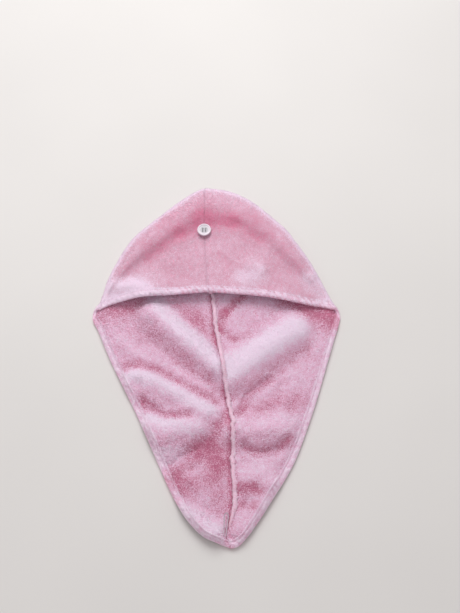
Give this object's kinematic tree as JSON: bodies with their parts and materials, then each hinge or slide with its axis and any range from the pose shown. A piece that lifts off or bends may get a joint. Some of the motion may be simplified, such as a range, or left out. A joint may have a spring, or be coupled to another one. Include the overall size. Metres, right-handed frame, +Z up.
{
  "type": "hair towel",
  "caption": "Terry hair-drying turban of two sewn panels, laid open with its crown folded over as a hood pocket, with a button and a cord loop.",
  "frame": {"origin": "on the surface the towel lies on, below the middle of its outline", "axes": "+X to the right and +Y from the tail's tip towards the crown, seen from above; +Z up, away from the surface"},
  "size_m": [0.3598, 0.544, 0.0273],
  "materials": {
    "terry": "pink looped terry pile",
    "seam": "overlocked terry edge",
    "button": "satin white",
    "thread": "sewing thread",
    "loop_cord": "thin elastic cord"
  },
  "bodies": {
    "root": {"left_panel": "terry", "right_panel": "terry", "seam_allowance": "seam", "button": "button", "button_thread": "thread", "button_loop": "loop_cord"}
  },
  "joints": []
}
